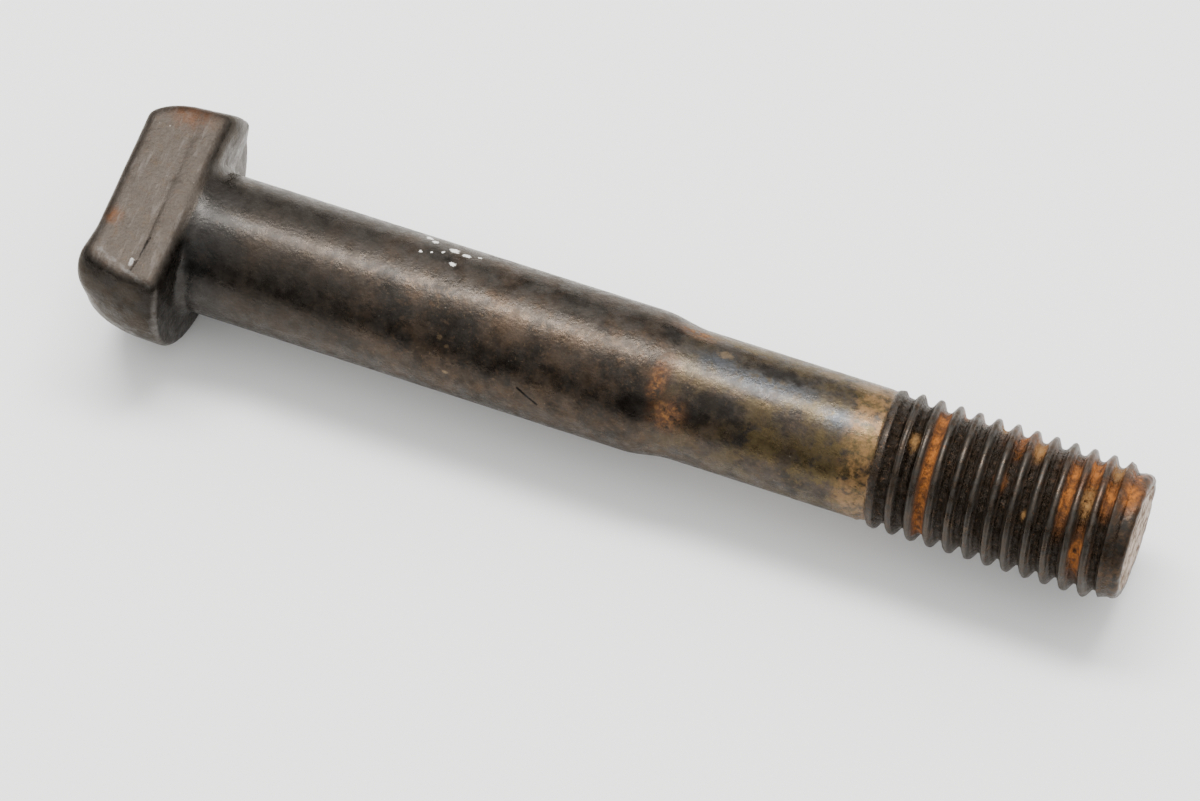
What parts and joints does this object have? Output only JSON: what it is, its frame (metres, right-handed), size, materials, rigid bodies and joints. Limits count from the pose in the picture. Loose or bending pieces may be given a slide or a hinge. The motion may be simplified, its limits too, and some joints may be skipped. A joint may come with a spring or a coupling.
{
  "type": "connecting rod bolt",
  "caption": "Connecting rod bolt with a D-shaped head, a fitted body, a slimmer waist and a short rolled thread, dark and rusted with use.",
  "frame": {"origin": "centre of the bearing face under the head, on the shank's axis", "axes": "+X along the shank from head to thread, +Z square to the head's flat, which faces up, +Y to the left seen from the head"},
  "size_m": [0.0677, 0.0152, 0.0117],
  "materials": {
    "forged_steel": "blackened forged steel with worn grey patches, brown stains and orange rust in the thread"
  },
  "bodies": {
    "root": {"bolt": "forged_steel"}
  },
  "joints": []
}
